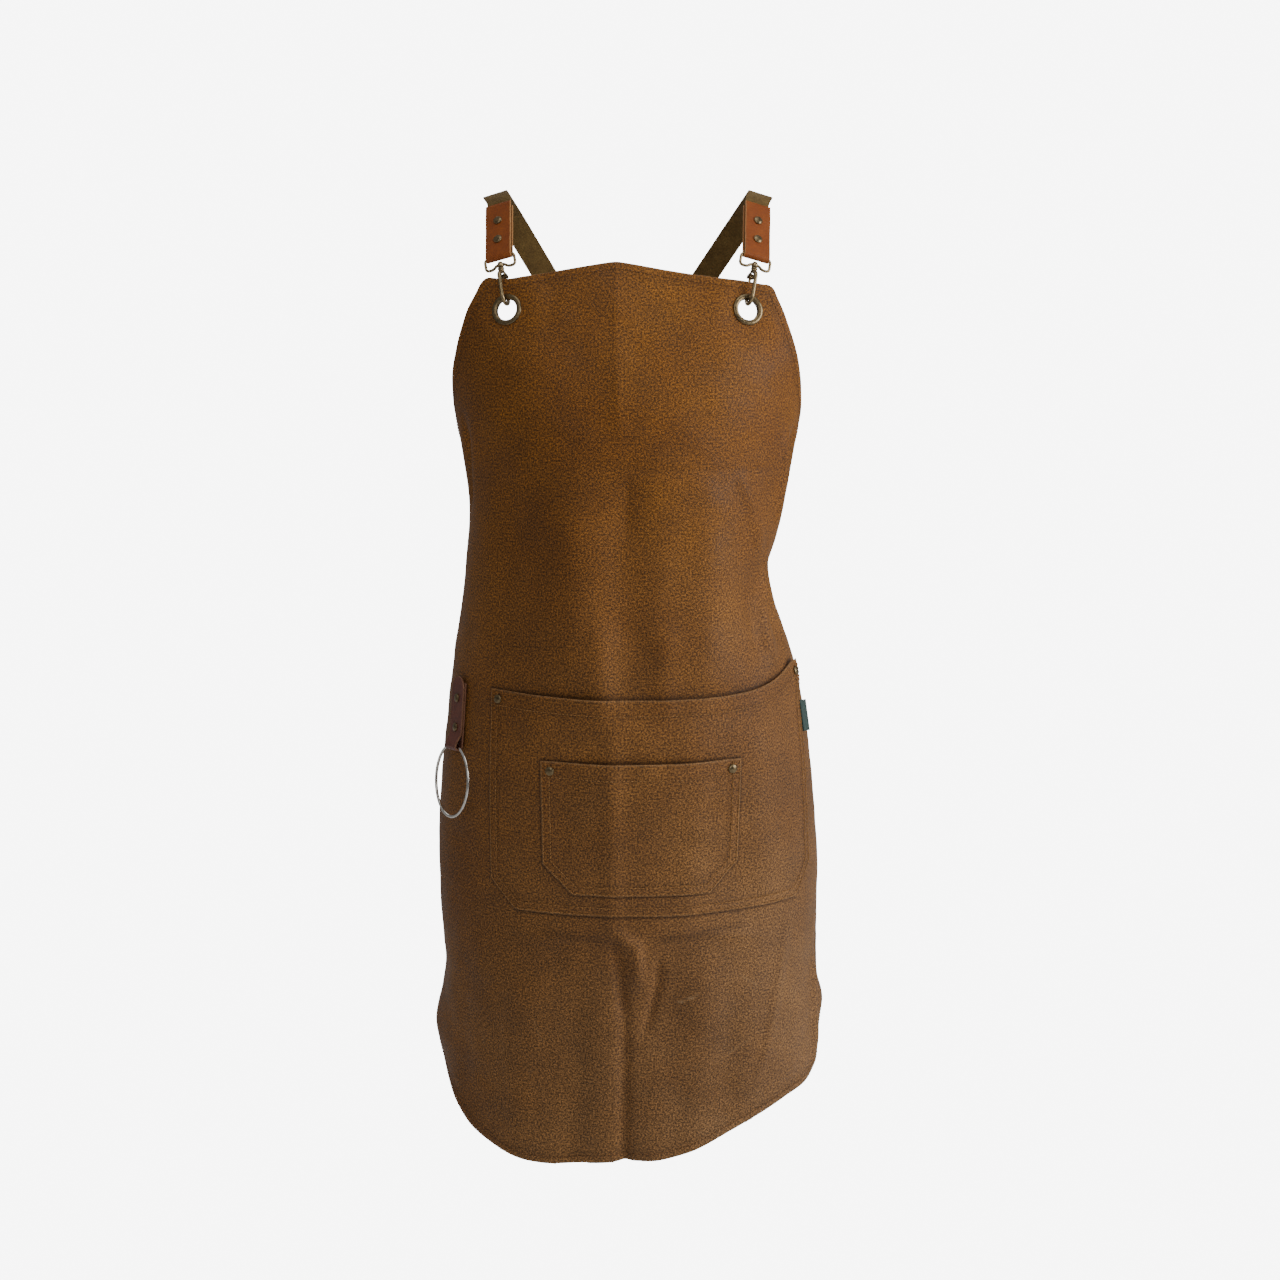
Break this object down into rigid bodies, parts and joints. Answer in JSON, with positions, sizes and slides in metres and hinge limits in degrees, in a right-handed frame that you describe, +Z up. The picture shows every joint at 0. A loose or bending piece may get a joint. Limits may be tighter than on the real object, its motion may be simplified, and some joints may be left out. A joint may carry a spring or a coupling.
{
  "type": "butcher apron",
  "caption": "Waxed canvas butcher apron shaped as worn, with cross-back webbing straps on swivel snap hooks, riveted patch pockets and a leather towel tab with a hanging ring.",
  "frame": {"origin": "midway between the two places where the straps rest on the wearer's shoulders, on the straps' underside", "axes": "+Z up; the apron's front faces -Y, so +Y points from the chest to the back; +X is to the right as seen from the front"},
  "size_m": [0.3808, 0.2853, 0.9085],
  "materials": {
    "canvas": "waxed cotton canvas, matt with a slight sheen",
    "webbing": "woven cotton webbing",
    "strap_leather": "smooth, polished",
    "tab_leather": "smooth, dark",
    "antique_brass": "antiqued, worn bright on its edges",
    "polished_steel": "nickel plated",
    "label": "plain woven tape"
  },
  "bodies": {
    "apron": {"apron_panel": "canvas", "large_pocket": "canvas", "small_pocket": "canvas", "side_label": "label", "large_pocket_rivet_left": "antique_brass", "large_pocket_rivet_right": "antique_brass", "small_pocket_rivet_left": "antique_brass", "small_pocket_rivet_right": "antique_brass", "strap_left_leather_rivet_1": "antique_brass", "strap_left_leather_rivet_2": "antique_brass", "strap_right_leather_rivet_1": "antique_brass", "strap_right_leather_rivet_2": "antique_brass", "towel_tab_rivet_1": "antique_brass", "towel_tab_rivet_2": "antique_brass", "front_left_grommet_eyelet": "antique_brass", "front_right_grommet_eyelet": "antique_brass", "back_left_grommet_eyelet": "antique_brass", "back_right_grommet_eyelet": "antique_brass", "front_left_grommet_washer": "antique_brass", "front_right_grommet_washer": "antique_brass", "back_left_grommet_washer": "antique_brass", "back_right_grommet_washer": "antique_brass", "strap_left": "webbing", "strap_right": "webbing", "strap_left_leather": "strap_leather", "strap_right_leather": "strap_leather", "strap_left_adjuster": "antique_brass", "strap_right_adjuster": "antique_brass", "towel_tab": "tab_leather"},
    "front_left_loop": {"front_left_hook_loop": "antique_brass"},
    "front_left_hook": {"front_left_hook": "antique_brass", "front_left_gate_pin": "antique_brass", "front_left_gate_spring": "antique_brass"},
    "front_left_gate": {"front_left_gate": "antique_brass"},
    "front_right_loop": {"front_right_hook_loop": "antique_brass"},
    "front_right_hook": {"front_right_hook": "antique_brass", "front_right_gate_pin": "antique_brass", "front_right_gate_spring": "antique_brass"},
    "front_right_gate": {"front_right_gate": "antique_brass"},
    "back_left_loop": {"back_left_hook_loop": "antique_brass"},
    "back_left_hook": {"back_left_hook": "antique_brass", "back_left_gate_pin": "antique_brass", "back_left_gate_spring": "antique_brass"},
    "back_left_gate": {"back_left_gate": "antique_brass"},
    "back_right_loop": {"back_right_hook_loop": "antique_brass"},
    "back_right_hook": {"back_right_hook": "antique_brass", "back_right_gate_pin": "antique_brass", "back_right_gate_spring": "antique_brass"},
    "back_right_gate": {"back_right_gate": "antique_brass"},
    "ring": {"towel_ring": "polished_steel"}
  },
  "joints": [
    {"name": "front_left_loop_tilt", "type": "hinge", "parent": "apron", "child": "front_left_loop", "pos_m": [-0.1178, -0.06397, -0.05961], "axis": [0.9312, -0.2744, 0.2399], "range_deg": [-1.8, 1.8]},
    {"name": "front_left_hook_swivel", "type": "hinge", "parent": "front_left_loop", "child": "front_left_hook", "pos_m": [-0.11623, -0.06713, -0.06929], "axis": [-0.1515, 0.3072, 0.9395], "range_deg": [-20, 20]},
    {"name": "front_left_gate_open", "type": "hinge", "parent": "front_left_hook", "child": "front_left_gate", "pos_m": [-0.1127, -0.0629, -0.07819], "axis": [-0.9312, 0.2744, -0.2399], "range_deg": [0, 10], "stiffness_Nm_per_rad": 0.04, "springref_deg": -8.59},
    {"name": "front_right_loop_tilt", "type": "hinge", "parent": "apron", "child": "front_right_loop", "pos_m": [0.11822, -0.06389, -0.05971], "axis": [0.9298, 0.2719, -0.248], "range_deg": [-1.8, 1.8]},
    {"name": "front_right_hook_swivel", "type": "hinge", "parent": "front_right_loop", "child": "front_right_hook", "pos_m": [0.11658, -0.06707, -0.06937], "axis": [0.1598, 0.3088, 0.9376], "range_deg": [-20, 20]},
    {"name": "front_right_gate_open", "type": "hinge", "parent": "front_right_hook", "child": "front_right_gate", "pos_m": [0.11298, -0.06285, -0.07825], "axis": [-0.9298, -0.2719, 0.248], "range_deg": [0, 10], "stiffness_Nm_per_rad": 0.04, "springref_deg": -8.59},
    {"name": "back_left_loop_tilt", "type": "hinge", "parent": "apron", "child": "back_left_loop", "pos_m": [-0.09146, 0.08168, -0.32083], "axis": [-0.7498, -0.4955, 0.4385], "range_deg": [-1.8, 1.8]},
    {"name": "back_left_hook_swivel", "type": "hinge", "parent": "back_left_loop", "child": "back_left_hook", "pos_m": [-0.09561, 0.0798, -0.33006], "axis": [0.4033, 0.1831, 0.8966], "range_deg": [-20, 20]},
    {"name": "back_left_gate_open", "type": "hinge", "parent": "back_left_hook", "child": "back_left_gate", "pos_m": [-0.0949, 0.07229, -0.33733], "axis": [0.7498, 0.4955, -0.4385], "range_deg": [0, 10], "stiffness_Nm_per_rad": 0.04, "springref_deg": -8.59},
    {"name": "back_right_loop_tilt", "type": "hinge", "parent": "apron", "child": "back_right_loop", "pos_m": [0.06285, 0.08935, -0.31943], "axis": [-0.8151, 0.4373, -0.38], "range_deg": [-1.8, 1.8]},
    {"name": "back_right_hook_swivel", "type": "hinge", "parent": "back_right_loop", "child": "back_right_hook", "pos_m": [0.06655, 0.08797, -0.32894], "axis": [-0.3589, 0.1337, 0.9238], "range_deg": [-20, 20]},
    {"name": "back_right_gate_open", "type": "hinge", "parent": "back_right_hook", "child": "back_right_gate", "pos_m": [0.066, 0.08055, -0.33631], "axis": [0.8151, -0.4373, 0.38], "range_deg": [0, 10], "stiffness_Nm_per_rad": 0.04, "springref_deg": -8.59},
    {"name": "towel_ring_swing", "type": "hinge", "parent": "apron", "child": "ring", "pos_m": [-0.16677, -0.0665, -0.51836], "axis": [-0.5284, 0.846, -0.0707], "range_deg": [0, 90]}
  ]
}
